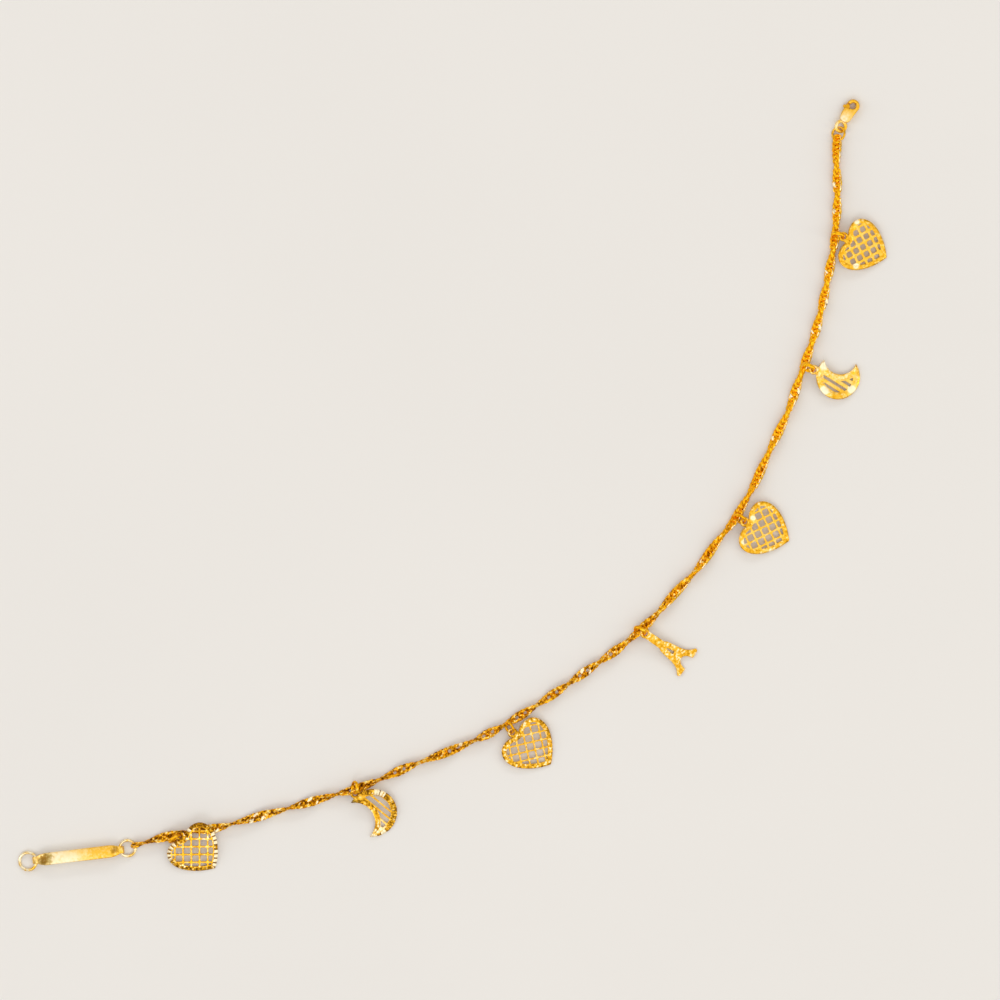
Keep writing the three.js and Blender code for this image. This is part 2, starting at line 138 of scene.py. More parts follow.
# Each charm: where its own origin and its eye lie, the way its axis points, the way it rises off
# the surface and by how much, and how its ring is tilted and how broad its wire is.
CHARMS = [
    dict(node="heart_charm_1", at=(-54.0, -76.3), points=-45, eye=(-4.6, -0.1),
         rises=100, lean=16, ring_pitch=76, ring_broad=0.3),
    dict(node="moon_charm_1", at=(-16.8, -68.6), points=29, eye=(-1.28, 5.5),
         rises=125, lean=12.5, ring_pitch=65, ring_broad=0.34),
    dict(node="heart_charm_2", at=(16.17, -54.65), points=-41, eye=(-4.7, -0.25),
         rises=139, lean=7.5, ring_pitch=58, ring_broad=0.265),
    dict(node="tower_charm", at=(40.5, -31.1), points=-34.5, eye=(-0.25, 0.0),
         rises=145.5, lean=11.5, ring_pitch=65, ring_broad=0.38),
    dict(node="heart_charm_3", at=(65.3, -9.3), points=-23, eye=(-4.5, 0.0),
         rises=157, lean=9, ring_pitch=58, ring_broad=0.3),
    dict(node="moon_charm_2", at=(80.8, 22.8), points=-97.5, eye=(-0.84, -5.4),
         rises=170, lean=11, ring_pitch=65, ring_broad=0.42),
    dict(node="heart_charm_4", at=(85.97, 50.14), points=-23.5, eye=(-4.65, 0.29),
         rises=156.5, lean=11.5, ring_pitch=65, ring_broad=0.42),
]

# Each heart's size, its lattice (direction, place of its middle, bar width) and how its rim is
# cut: the number of facets round it and their depth.
HEARTS = {
    "heart_charm_1": dict(size=1.0, grid=45, middle=(0.11, -0.13), bar=0.36, facets=34, cut=0.16),
    "heart_charm_2": dict(size=1.01, grid=54, middle=(0.08, -0.01), bar=0.34, facets=44, cut=0.05),
    "heart_charm_3": dict(size=1.0, grid=49, middle=(0.25, 0.0), bar=0.42, facets=16, cut=0.03),
    "heart_charm_4": dict(size=0.97, grid=52, middle=(0.04, -0.01), bar=0.54, facets=16, cut=0.03),
}
GRID_REACH = 4  # cells on each side of a grid's middle one
HOLE_CORNER = 0.25
LEAST_HOLE = 0.12  # square millimetres; a smaller cell stays closed
RIM_FOOT = 0.02  # how high a rim's lower edge lies in the charm
# A rim's section: the share of the way inwards, and the height.
DOMED = [
    (0.0, RIM_FOOT), (0.0, 0.3), (0.06, 0.4), (0.18, 0.46), (0.4, 0.5), (0.65, 0.5), (0.88, 0.475),
    (1.0, 0.44), (1.0, RIM_FOOT),
]
FACETED = [
    (0.0, RIM_FOOT), (0.0, 0.28), (0.12, 0.42), (0.5, 0.5), (0.9, 0.47), (1.0, 0.4),
    (1.0, RIM_FOOT),
]
DEEP_CUT = 0.1  # facets cut deeper than this have the faceted section
MANY_FACETS = 24  # a rim with more has fewer points in each
# The facets of the diamond-cut rims that get a painted glint, and those that start with a line
# of painted shade, counted from a heart's tip or a moon's first horn.
FACETS = {
    "heart_charm_1": ((0, 1, 2, 3, 5, 6, 7, 14, 16, 19, 20, 21, 22, 23),
                      (*range(17), *range(19, 25), 27, 30)),
    "moon_charm_1": ((0, 1, 3, 4, 18, 19, 20, 21), (3, 5, 8, 10, 12, 15, 18, 20, 24, 27)),
}
MOON_BAR_PITCH = 1.3
MOONS = {
    "moon_charm_1": dict(radius=5.1, bite=4.45, bite_at=-4.5, rim=1.3, inner_rim=1.15,
                         slant=-69, offset=0.64, bar=0.36, facets=30, cut=0.12),
    "moon_charm_2": dict(radius=4.7, bite=3.6, bite_at=-4.2, rim=1.5, inner_rim=1.4,
                         slant=66.7, offset=-0.17, bar=0.72, facets=12, cut=0.03),
}
TOWER = {
    "outline": [
        (0.2, 0.84), (4.2, 0.9), (4.5, 1.2), (5.9, 1.47), (7.8, 1.72), (8.8, 2.0), (9.7, 2.5),
        (10.6, 3.5), (11.1, 3.2), (11.15, 1.4), (10.5, 1.32), (9.8, 1.05), (9.25, 0.55), (9.1, 0),
    ],
    "window": [(5.35, -0.06), (5.35, 0.08), (6.95, 0.34), (7.15, 0.28), (7.1, -0.3), (6.95, -0.34)],
}

# The clasp in its own frame: X runs from the base to the hook, Y to the lever's side, and the
# origin is the middle of the hook's hole.
CLASP = {
    "at": (83.98, 79.67), "points": 59, "thickness": 1.5, "hook_radius": 1.39,
    "hook_hole": (0.7, 0.6),
    "body": [
        (-0.6, -1.3), (-1.5, -1.2), (-2.6, -1.12), (-3.2, -1.02), (-3.62, -0.76), (-3.83, -0.2),
        (-3.84, 0.5), (-3.6, 0.98), (-3.15, 1.22), (-2.3, 1.36), (-1.5, 1.36), (-0.92, 1.3),
    ],
    "mouth": (-0.92, 0.04, 0.25), "slot": (-3.0, -0.8), "slot_heights": (0.42, 1.08),
    "spine": [(-3.1, -1.0), (-0.8, -1.2), (-0.8, -0.88), (-3.1, -0.87)],
    "pivot": (-2.1, -0.1), "pin": 0.28,
    "eye_at": (-4.96, 0.0), "eye_outer": 1.43, "eye_hole": 0.68, "eye_height": 0.96,
    "eye_wire_height": 0.22, "eye_tilt": -20,
}
LEVER_SHAPE = {
    "heights": (0.52, 0.98), "tab_heights": (0.55, 0.95), "hub": 0.62, "bore": 0.38,
    "arm": [(-2.1, 0.5), (-1.65, -0.05), (-1.0, 0.26), (-0.08, 0.66), (-0.03, 1.4), (-1.1, 1.42)],
    "tab": [(-0.45, 1.1), (-0.5, 1.6), (-0.72, 1.86), (-1.05, 1.86), (-1.28, 1.62), (-1.2, 1.1)],
}


def middle_of(node):
    """The middle of a CAD node's box, in millimetres."""
    low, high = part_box(node)
    return (Vector(low) + Vector(high)) / (2 * MM)


# The tables' origin seen from the frame's: the end ring's middle is known in both.
SHIFT = middle_of("end_ring") - Vector((*END_RING["at"], 0))
SHIFT.z = 0

# ---------------------------------------------------------------- shader maths


class Value:
    """A shader socket that takes part in Python expressions."""

    def __init__(self, maker, socket):
        self.maker = maker
        self.socket = socket

    def _with(self, operation, first, second):
        return self.maker.node("ShaderNodeMath", {"operation": operation}, {0: first, 1: second})

    def __add__(self, other):
        return self._with("ADD", self, other)

    def __radd__(self, other):
        return self._with("ADD", other, self)

    def __sub__(self, other):
        return self._with("SUBTRACT", self, other)

    def __rsub__(self, other):
        return self._with("SUBTRACT", other, self)

    def __mul__(self, other):
        return self._with("MULTIPLY", self, other)

    def __rmul__(self, other):
        return self._with("MULTIPLY", other, self)


class Finish:
    """One material, made from nodes."""

    def __init__(self, name):
        self.material = bpy.data.materials.new(name)
        self.material.use_nodes = True
        self.tree = self.material.node_tree
        self.tree.nodes.clear()

    def node(self, kind, settings, inputs, output=0):
        """Adds a node: its settings go first, then the values or links of its sockets."""
        node = self.tree.nodes.new(kind)
        for key, setting in settings.items():
            if key == "stops":
                self._set_stops(node.color_ramp, setting)
            else:
                setattr(node, key, setting)
        for key, value in inputs.items():
            socket = self._socket(node.inputs, key)
            if isinstance(value, Value):
                self.tree.links.new(value.socket, socket)
            else:
                socket.default_value = value
        return Value(self, self._socket(node.outputs, output))

    @staticmethod
    def _set_stops(ramp, stops):
        while len(ramp.elements) < len(stops):
            ramp.elements.new(1.0)
        for element, (place, colour) in zip(ramp.elements, stops):
            element.position = place
            element.color = (*colour, 1)

    @staticmethod
    def _socket(sockets, key):
        if isinstance(key, int):
            return sockets[key]
        for socket in sockets:
            if socket.identifier == key:
                return socket
        return sockets[key]

    def mix(self, share, first, second):
        """The first colour where share is 0, the second where it is 1."""
        settings = {"data_type": "RGBA", "clamp_factor": True}
        inputs = {"Factor_Float": share, "A_Color": first, "B_Color": second}
        return self.node("ShaderNodeMix", settings, inputs, "Result_Color")

    def steps(self, share, low, high):
        """0 below low, 1 above high, smooth between."""
        settings = {"interpolation_type": "SMOOTHSTEP"}
        inputs = {"Value": share, "From Min": low, "From Max": high}
        return self.node("ShaderNodeMapRange", settings, inputs, "Result")

    def finished(self, **inputs):
        """Ends the material in one shader with these inputs."""
        named = {key.replace("_", " "): value for key, value in inputs.items()}
        shader = self.node("ShaderNodeBsdfPrincipled", {}, named)
        output = self.tree.nodes.new("ShaderNodeOutputMaterial")
        self.tree.links.new(shader.socket, output.inputs["Surface"])
        return self.material


# Olive and brown gold for painted dark reflections: the bar's sloping ends and a place on the first
# moon.
OLIVE_DARK_REFLECTION = (0.34, 0.24, 0.03, 1)
BROWN_DARK_REFLECTION = (0.30, 0.13, 0.012, 1)
# Yellow gold from its darkest, also used for painted shade, to its palest, also used for painted
# glints, and the redder gold of the chain.
GOLD_TONES = [
    (0.0, (0.16, 0.06, 0.004)), (0.25, (0.33, 0.15, 0.008)), (0.5, (0.60, 0.29, 0.012)),
    (0.68, (0.80, 0.41, 0.018)), (0.8, (0.90, 0.53, 0.06)), (0.9, (0.97, 0.68, 0.24)),
    (1.0, (1.0, 0.88, 0.60)),
]
CHAIN_TONES = [
    (0.0, (0.14, 0.04, 0.002)), (0.25, (0.40, 0.15, 0.004)), (0.5, (0.78, 0.34, 0.006)),
    (0.72, (1.0, 0.49, 0.008)), (0.88, (1.0, 0.61, 0.03)), (1.0, (1.0, 0.82, 0.34)),
]


def gold(name, tone, contrast, size, rough, grain, spots=(), place_of=None, painted_brightening=0.0,
         tones=GOLD_TONES):
    """Yellow gold. Its tone, from 0 for dark to 1 for pale, varies by contrast over patches of
    `size` millimetres; grain is the depth of its fine texture. The spots (x, y, radius, own) are
    round places of painted highlight, painted shade and painted dark reflection on the piece, that
    place_of puts in its place, whose own is a colour or what they add to the tone. A gold with a
    painted brightening gets paler and evener towards the clasp, as if lit more strongly there."""
    finish = Finish(name)
    place = finish.node("ShaderNodeTexCoord", {}, {}, "Object")
    from_above = {0: place, 1: (1, 1, 0)}
    plan = finish.node("ShaderNodeVectorMath", {"operation": "MULTIPLY"}, from_above, "Vector")
    scale = 1 / (size * MM)
    cells = finish.node("ShaderNodeTexVoronoi", {}, {"Vector": place, "Scale": scale}, "Color")
    patch = finish.node("ShaderNodeSeparateColor", {}, {"Color": cells}, 0)
    cloudy = {"Vector": place, "Scale": 0.6 * scale, "Detail": 3.0}
    cloud = finish.steps(finish.node("ShaderNodeTexNoise", {}, cloudy, 0), 0.32, 0.68)
    uneven = contrast * (patch * 0.45 + cloud * 0.55 - 0.5)
    # Painted light: the gold gets paler and evener towards the clasp, as where the chain is lit more
    # strongly.
    if painted_brightening:
        north = finish.node("ShaderNodeSeparateXYZ", {}, {"Vector": place}, "Y")
        towards_clasp = finish.steps(north, -0.07, 0.03)
        uneven = uneven * (1 - 0.78 * towards_clasp) + painted_brightening * towards_clasp
    level = tone + uneven
    roughness = rough + 0.1 * (cloud - 0.5)
    coloured = []
    for x, y, radius, own in spots:
        centre = (place_of @ Vector((x, y, CHARM_THICKNESS)) + SHIFT) * MM
        from_centre = {0: plan, 1: (centre.x, centre.y, 0)}
        away = finish.node("ShaderNodeVectorMath", {"operation": "DISTANCE"}, from_centre, "Value")
        edge = away + (cloud * 0.6 + patch * 0.4 - 0.5) * (0.7 * radius * MM)
        spot = 1 - finish.steps(edge, 0.25 * radius * MM, 1.05 * radius * MM)
        if isinstance(own, tuple):
            coloured.append((spot, own))
        else:
            level = level + own * spot
            roughness = roughness + 0.1 * spot
    colour = finish.node("ShaderNodeValToRGB", {"stops": tones}, {"Fac": level}, "Color")
    for spot, own in coloured:
        colour = finish.mix(spot * (0.75 + 0.5 * uneven), colour, own)
    fine = finish.node(
        "ShaderNodeTexNoise", {}, {"Vector": place, "Scale": 2.2 * scale, "Detail": 4.0}, 0
    )
    relief = {"Strength": grain, "Distance": 0.05 * MM, "Height": fine + patch * 0.6}
    normal = finish.node("ShaderNodeBump", {}, relief)
    return finish.finished(Base_Color=colour, Metallic=1.0, Roughness=roughness, Normal=normal)


# The chain's gold and the charm rings' wire have a painted brightening towards the clasp.
chain_gold = gold("mottled_chain_gold", 0.55, 1.45, 0.45, 0.36, 0.25, painted_brightening=0.18,
                  tones=CHAIN_TONES)
wire_gold = gold("drawn_wire_gold", 0.62, 0.7, 0.5, 0.34, 0.15, painted_brightening=0.12,
                 tones=CHAIN_TONES)
# Pale, near-white gold: a painted glint on diamond-cut faces and bright facets.
cut_painted_glint_gold = gold("diamond_cut_gold", 1.1, 0.2, 0.6, 0.45, 0.05)
# Dark brown gold: lines of painted shade between facets.
facet_shade_gold = gold("facet_painted_shade_gold", 0.22, 0.5, 0.5, 0.4, 0.2)
# An even yellow gold: a painted sheen on the chain's lower edge towards the clasp.
edge_sheen_gold = gold("edge_painted_sheen_gold", 0.7, 0.35, 0.6, 0.4, 0.08, tones=[
    (0.0, (0.55, 0.29, 0.008)), (1.0, (0.95, 0.58, 0.035)),
])
# Dark gold: painted shade in the sunk gaps between links.
gap_shade_gold = gold("gap_painted_shade_gold", 0.2, 0.3, 0.5, 0.45, 0.1, tones=CHAIN_TONES)
pale_wire_gold = gold("pale_wire_gold", 0.92, 0.4, 0.7, 0.3, 0.1)

# ---------------------------------------------------------------- meshes


def shells_of(form):
    """The faces of each separate shell, one shell after another."""
    left = set(form.faces)
    while left:
        shell = [left.pop()]
        for face in shell:
            near = {other for edge in face.edges for other in edge.link_faces} & left
            left -= near
            shell += near
        yield shell


def space_in(shell):
    """Six times the space that a shell encloses, negative for one that is inside out."""
    space = 0
    for face in shell:
        first, *others = (point.co for point in face.verts)
        space += sum(first.dot(a.cross(b)) for a, b in zip(others, others[1:]))
    return space


def mend(mesh):
    """Weld a mesh's doubled points, drop its loose ones and turn every shell outwards."""
    form = bmesh.new()
    form.from_mesh(mesh)
    bmesh.ops.remove_doubles(form, verts=form.verts, dist=WELD * MM)
    loose = [point for point in form.verts if not point.link_faces]
    bmesh.ops.delete(form, geom=loose, context="VERTS")
    bmesh.ops.recalc_face_normals(form, faces=form.faces)
    for shell in list(shells_of(form)):
        if space_in(shell) < 0:
            bmesh.ops.reverse_faces(form, faces=shell)
    form.to_mesh(mesh)
    form.free()


def piece(name, shells, finishes, node, body=ANKLET, matrix=None, sharp=30):
    """One object that stands for a CAD node. Each shell has its points in millimetres, its faces
    and, where it isn't the first finish, the number of its finish or of each face's."""
    points, faces, numbers, first = [], [], [], 0
    for shell_points, shell_faces, *number in shells:
        points.append(np.asarray(shell_points, dtype=float))
        faces += [tuple(first + i for i in face) for face in shell_faces]
        number = number[0] if number else 0
        numbers += number if isinstance(number, list) else [number] * len(shell_faces)
        first += len(shell_points)
    placing = Matrix.Translation(SHIFT) @ (matrix or Matrix.Identity(4))
    turned = np.asarray(placing.to_3x3())
    points = np.concatenate(points) @ turned.T + np.asarray(placing.translation)
    mesh = bpy.data.meshes.new(name)
    mesh.from_pydata((points * MM).tolist(), [], faces)
    mesh.polygons.foreach_set("material_index", numbers)
    for finish in finishes:
        mesh.materials.append(finish)
    mend(mesh)
    mesh.shade_smooth()
    mesh.set_sharp_from_angle(angle=math.radians(sharp))
    made = bpy.data.objects.new(name, mesh)
    bpy.context.collection.objects.link(made)
    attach(made, body)
    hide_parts(node)


def grid_faces(rows, columns, close_rows=True):
    """Quads over the points of a tube, laid out row by row."""
    faces = []
    for i in range(rows if close_rows else rows - 1):
        this, later = i * columns, (i + 1) % rows * columns
        for j in range(columns):
            k = (j + 1) % columns
            faces.append((this + j, later + j, later + k, this + k))
    return faces


def torus(radius, wire, tall=None, steps=56, sides=14):
    """A ring of wire in its own plane; tall is the wire's half height if it isn't round."""
    tall = tall or wire
    around = np.linspace(0, 2 * np.pi, steps, endpoint=False)[:, None]
    across = np.linspace(0, 2 * np.pi, sides, endpoint=False)[None, :]
    reach = radius + wire * np.cos(across)
    points = np.stack(
        [reach * np.cos(around), reach * np.sin(around), tall * np.sin(across) + 0 * around], axis=2
    )
    return points.reshape(-1, 3), grid_faces(steps, sides)


def ends_capped(rows, columns):
    """The two end faces of a tube laid out row by row."""
    return [tuple(range(columns))[::-1], tuple((rows - 1) * columns + j for j in range(columns))]


def moved(shell, matrix):
    """A shell in another place."""
    points, faces = shell
    turned = np.asarray(matrix.to_3x3())
    return np.asarray(points) @ turned.T + np.asarray(matrix.translation), faces


def plate(outer, holes, low, high, bevel=0.05, corner=3):
    """A flat plate with holes and rounded edges, as a closed shell."""
    curve = bpy.data.curves.new("plate", "CURVE")
    curve.dimensions = "2D"
    curve.fill_mode = "BOTH"
    for outline in [outer, *holes]:
        spline = curve.splines.new("POLY")
        spline.points.add(len(outline) - 1)
        for point, (x, y) in zip(spline.points, outline):
            point.co = (x, y, 0, 1)
        spline.use_cyclic_u = True
    curve.extrude = (high - low) / 2 - bevel
    curve.bevel_depth = bevel
    curve.bevel_resolution = corner
    curve.offset = -bevel
    holder = bpy.data.objects.new("plate", curve)
    mesh = bpy.data.meshes.new_from_object(holder)
    points = np.array([v.co[:] for v in mesh.vertices])
    points[:, 2] += (low + high) / 2
    faces = [tuple(p.vertices) for p in mesh.polygons]
    bpy.data.objects.remove(holder)
    bpy.data.curves.remove(curve)
    bpy.data.meshes.remove(mesh)
    return points, faces


def round_corners(outline, reach, steps=3):
    """An outline with its corners rounded over `reach` millimetres."""
    rounded = []
    count = len(outline)
    for i in range(count):
        before, corner, after = (np.array(outline[(i + k) % count]) for k in (-1, 0, 1))
        into, out = before - corner, after - corner
        start = corner + into * min(0.45, reach / max(np.linalg.norm(into), 1e-6))
        end = corner + out * min(0.45, reach / max(np.linalg.norm(out), 1e-6))
        for t in np.linspace(0, 1, steps):
            rounded.append((1 - t) ** 2 * start + 2 * t * (1 - t) * corner + t * t * end)
    return rounded


def area(outline):
    """The area inside an outline."""
    x, y = np.array(outline).T
    return 0.5 * abs(np.sum(x * np.roll(y, -1) - np.roll(x, -1) * y))


def clipped(outline, corners):
    """The part of an outline inside a convex cell whose corners run anticlockwise."""
    kept = list(outline)
    for i, corner in enumerate(corners):
        along = np.subtract(corners[(i + 1) % len(corners)], corner)
        inside = lambda p: along[0] * (p[1] - corner[1]) - along[1] * (p[0] - corner[0])
        result = []
        for j, point in enumerate(kept):
            last = kept[j - 1]
            here, there = inside(point), inside(last)
            if (here >= 0) != (there >= 0):
                t = there / (there - here)
                result.append((last[0] + t * (point[0] - last[0]), last[1] + t * (point[1] - last[1])))
            if here >= 0:
                result.append(point)
        kept = result
        if len(kept) < 3:
            return []
    return kept


def thinned(outline, least=0.09):
    """An outline without points that nearly repeat the one before."""
    kept = []
    for point in outline:
        if not kept or math.dist(point, kept[-1]) > least:
            kept.append(point)
    if len(kept) > 1 and math.dist(kept[0], kept[-1]) <= least:
        kept.pop()
    return kept


def cell_holes(window, pitch_x, pitch_y, bar_x, bar_y, angle, middle):
    """The holes that bars leave in a window: rounded cells of a turned grid."""
    turn = math.radians(angle)
    x_way = np.array((math.cos(turn), math.sin(turn)))
    y_way = np.array((-math.sin(turn), math.cos(turn)))
    holes = []
    for i in range(-GRID_REACH, GRID_REACH + 1):
        for j in range(-GRID_REACH, GRID_REACH + 1):
            centre = np.array(middle) + x_way * i * pitch_x + y_way * j * pitch_y
            half_x, half_y = (pitch_x - bar_x) / 2, (pitch_y - bar_y) / 2
            cell = [
                centre + x_way * half_x * a + y_way * half_y * b
                for a, b in ((-1, -1), (1, -1), (1, 1), (-1, 1))
            ]
            hole = thinned(clipped(window, cell))
            if len(hole) >= 3 and area(hole) > LEAST_HOLE:
                holes.append(round_corners(hole, HOLE_CORNER))
    return holes


def spaced(outer, inner, count, closed):
    """Two matching outlines, taken again at even steps along the first."""
    outer, inner = np.array(outer), np.array(inner)
    if closed:
        outer, inner = np.vstack([outer, outer[:1]]), np.vstack([inner, inner[:1]])
    length = np.concatenate([[0], np.cumsum(np.linalg.norm(np.diff(outer, axis=0), axis=1))])
    even = np.linspace(0, length[-1], count + 1)[: count if closed else count + 1]
    return [
        np.stack([np.interp(even, length, line[:, k]) for k in (0, 1)], axis=1)
        for line in (outer, inner)
    ]


def band(outer, inner, closed, profile, facets, cut, roll, bright=(), shaded_facets=()):
    """A rim between two outlines of equal point count, its top cut into radial facets. The facets
    listed as bright get a painted glint, and each listed as shaded starts with a line of painted
    shade."""
    steps = 6 if facets > MANY_FACETS else 10
    outer, inner = spaced(outer, inner, facets * steps, closed)
    tilts = roll.uniform(-0.5, 1.0, facets + 2)
    rows, finishes = [], []
    for i in range(len(outer)):
        number, share = divmod(i, steps)
        share /= steps
        groove = max(0, 1 - 2.5 * min(share, 1 - share))
        leaning = tilts[number] * (1 - share) + tilts[number + 1] * share
        depth = cut * (groove + 0.6 * leaning)
        row = []
        for across, height in profile:
            x, y = outer[i] + (inner[i] - outer[i]) * across
            z = height - depth * min(1, max(0, (height - 0.2) * 5))
            row.append((x, y, min(max(z, RIM_FOOT), CHARM_THICKNESS)))
        rows.append(row)
        # The start of each listed facet gets a strip of painted shade.
        dark = number in shaded_facets and share < 0.3
        finish = SHADED_FACET if dark else GLINT_FACET if number in bright else RIM
        finishes += [finish] * len(profile)
    columns = len(profile)
    count = len(outer)
    points = np.array(rows).reshape(-1, 3)
    faces = grid_faces(count, columns, close_rows=closed)
    if not closed:
        finishes = finishes[:len(faces)] + [RIM, RIM]
        faces += ends_capped(count, columns)
    return points, [face[::-1] for face in faces], finishes


def arc(radius, turn, at=(0, 0)):
    """Points round a place, at these angles; the radius is a pair for an oval's."""
    return np.stack([np.cos(turn), np.sin(turn)], axis=1) * radius + at


def bezier(start, bend_1, bend_2, end, count):
    """Points of a cubic curve, its end left out."""
    t = np.linspace(0, 1, count, endpoint=False)[:, None]
    start, bend_1, bend_2, end = map(np.array, (start, bend_1, bend_2, end))
    u = 1 - t
    return u**3 * start + 3 * u * u * t * bend_1 + 3 * u * t * t * bend_2 + t**3 * end


def inset(outline, distance):
    """An outline's points moved inwards, anticlockwise ones to their left."""
    outline = np.array(outline)
    along = np.roll(outline, -1, axis=0) - np.roll(outline, 1, axis=0)
    along /= np.linalg.norm(along, axis=1)[:, None]
    return outline + distance * np.stack([-along[:, 1], along[:, 0]], axis=1)


# ---------------------------------------------------------------- the chain


def smooth_route(points, count=4000):
    """Evenly spaced points of a centripetal curve through the route's points."""
    points = np.array(points, dtype=float)
    padded = np.vstack([2 * points[0] - points[1], points, 2 * points[-1] - points[-2]])
    dense = []
    for p0, p1, p2, p3 in zip(padded, padded[1:], padded[2:], padded[3:]):
        t0, t1, t2 = np.sqrt([math.dist(p0, p1), math.dist(p1, p2), math.dist(p2, p3)])
        m1 = (p1 - p0) / t0 - (p2 - p0) / (t0 + t1) + (p2 - p1) / t1
        m2 = (p2 - p1) / t1 - (p3 - p1) / (t1 + t2) + (p3 - p2) / t2
        m1, m2 = m1 * t1, m2 * t1
        for t in np.linspace(0, 1, 60, endpoint=False):
            dense.append(
                p1 + m1 * t + (3 * (p2 - p1) - 2 * m1 - m2) * t**2 + (m1 + m2 - 2 * (p2 - p1)) * t**3
            )
    dense = np.array(dense + [points[-1]])
    length = np.concatenate([[0], np.cumsum(np.linalg.norm(np.diff(dense, axis=0), axis=1))])
    even = np.linspace(0, length[-1], count)
    return np.stack([np.interp(even, length, dense[:, k]) for k in (0, 1)], axis=1), length[-1]


def link_points(size):
    """One link before it is twisted: a saddle-bent oval of grooved wire."""
    around = np.linspace(0, 2 * np.pi, LINK_STEPS, endpoint=False)
    middle = np.stack(
        [
            LINK["half_length"] * size * np.cos(around),
            LINK["half_width"] * size * np.sin(around),
            LINK["weave"] * np.sin(2 * around),
        ],
        axis=1,
    )
    way = np.roll(middle, -1, axis=0) - np.roll(middle, 1, axis=0)
    way /= np.linalg.norm(way, axis=1)[:, None]
    out = middle * (1, 1, 0)
    out -= way * np.sum(out * way, axis=1)[:, None]
    out /= np.linalg.norm(out, axis=1)[:, None]
    up = np.cross(way, out)
    across, through = np.array(LINK_SECTION, dtype=float).T
    wide = LINK["wire_end"] + (LINK["wire_side"] - LINK["wire_end"]) * np.sin(around) ** 2
    grid = middle[:, None, :] + wide[:, None, None] * across[None, :, None] * out[:, None, :]
    thick = LINK["wire_thick"] * through[None, :, None]
    return (grid + thick * up[:, None, :]).reshape(-1, 3)


def bead(half_length, half_width, half_height, rings=5, sides=8):
    """A flattened ball."""
    climb = np.linspace(-np.pi / 2, np.pi / 2, rings)[:, None]
    turn = np.linspace(0, 2 * np.pi, sides, endpoint=False)[None, :]
    points = np.stack(
        [
            half_length * np.cos(climb) * np.cos(turn),
            half_width * np.cos(climb) * np.sin(turn),
            half_height * np.sin(climb) + 0 * turn,
        ],
        axis=2,
    )
    return points.reshape(-1, 3), grid_faces(rings, sides, close_rows=False)


class Ribbon:
    """The ribbon of links: where a point of the straight one lies on the twisted one."""

    def __init__(self):
        self.route, self.length = smooth_route(CHAIN_ROUTE)
        self.stations = np.linspace(0, self.length, len(self.route))
        self.slopes = np.gradient(self.route, axis=0)
        self.edge_turns = np.arange(len(ON_EDGE)) * np.pi + np.pi / 2
        self.open_at = np.interp(OPEN_GAPS, *GAPS_AT)

    def opened(self, place, sway):
        """The same points, pushed away from the nearest open gap."""
        nearest = np.argmin(np.abs(place[:, None] - self.open_at[None, :]), axis=1)
        from_gap = np.stack([place - self.open_at[nearest], sway], axis=1)
        away = np.linalg.norm(from_gap, axis=1)
        reach, push = OPEN_GAP["reach"], OPEN_GAP["push"]
        share = np.where(away < reach, push * (1 - away / reach), 0) / np.maximum(away, 1e-6)
        return place + from_gap[:, 0] * share, sway * (1 + share)

    def twisted(self, place, local, wobble=0.0):
        """The points' real places, and how far to the left of the chain's middle they lie."""
        place, sway = self.opened(place, local[:, 1])
        inside = np.clip(place, 0, self.length)
        x, y = (np.interp(inside, self.stations, self.route[:, k]) for k in (0, 1))
        step_x, step_y = (np.interp(inside, self.stations, self.slopes[:, k]) for k in (0, 1))
        step = np.hypot(step_x, step_y)
        step_x, step_y = step_x / step, step_y / step
        turn = np.interp(place, ON_EDGE, self.edge_turns) + wobble
        lift = local[:, 2] * np.interp(inside, *CHAIN_THICKENS)
        level = sway * np.cos(turn) - lift * np.sin(turn)
        height = sway * np.sin(turn) + lift * np.cos(turn)
        over = place - inside
        x = x + over * step_x - level * step_y
        y = y + over * step_y + level * step_x
        return np.stack([x, y, np.maximum(CHAIN_HEIGHT + height, 0.01)], axis=1), level


def diamond_cut(points, place, level):
    """Flattens a link where the diamond tool has cut it, and says which points get the painted glint.
    """
    cut = np.zeros(len(points), dtype=bool)
    for cut_at, side in DIAMOND_CUTS:
        slanted = place - cut_at - 0.6 * (level - 0.6 * side)
        cut |= (np.abs(slanted) < CUT_REACH) & (np.abs(level - STRAND * side) < CUT_REACH)
    flat = CHAIN_HEIGHT + CUT_HEIGHT
    pressed = np.maximum(points[:, 2] - CUT_DEPTH, flat)
    points[:, 2] = np.where(cut & (points[:, 2] > flat - 0.03), pressed, points[:, 2])
    return cut & (points[:, 2] > CHAIN_HEIGHT + 0.03)


def link(ribbon, along, roll):
    """One link, with a finish for each face."""
    local = link_points(1 + roll.normal(0, 0.015))
    place = along + local[:, 0]
    points, level = ribbon.twisted(place, local, roll.normal(0, 0.05))
    # Diamond-cut faces take a painted glint.
    cut = diamond_cut(points, place, level)
    # The lower edge towards the clasp takes the painted sheen.
    edge_sheen = (place > EDGE_SHEEN_FROM) & (level < -STRAND) & (points[:, 2] > CHAIN_HEIGHT - 0.5)
    look = np.where(cut, CUT, np.where(edge_sheen, EDGE_SHEEN, WIRE))
    faces = grid_faces(LINK_STEPS, len(LINK_SECTION))
    return points, faces, [int(np.median(look[list(face)])) for face in faces]


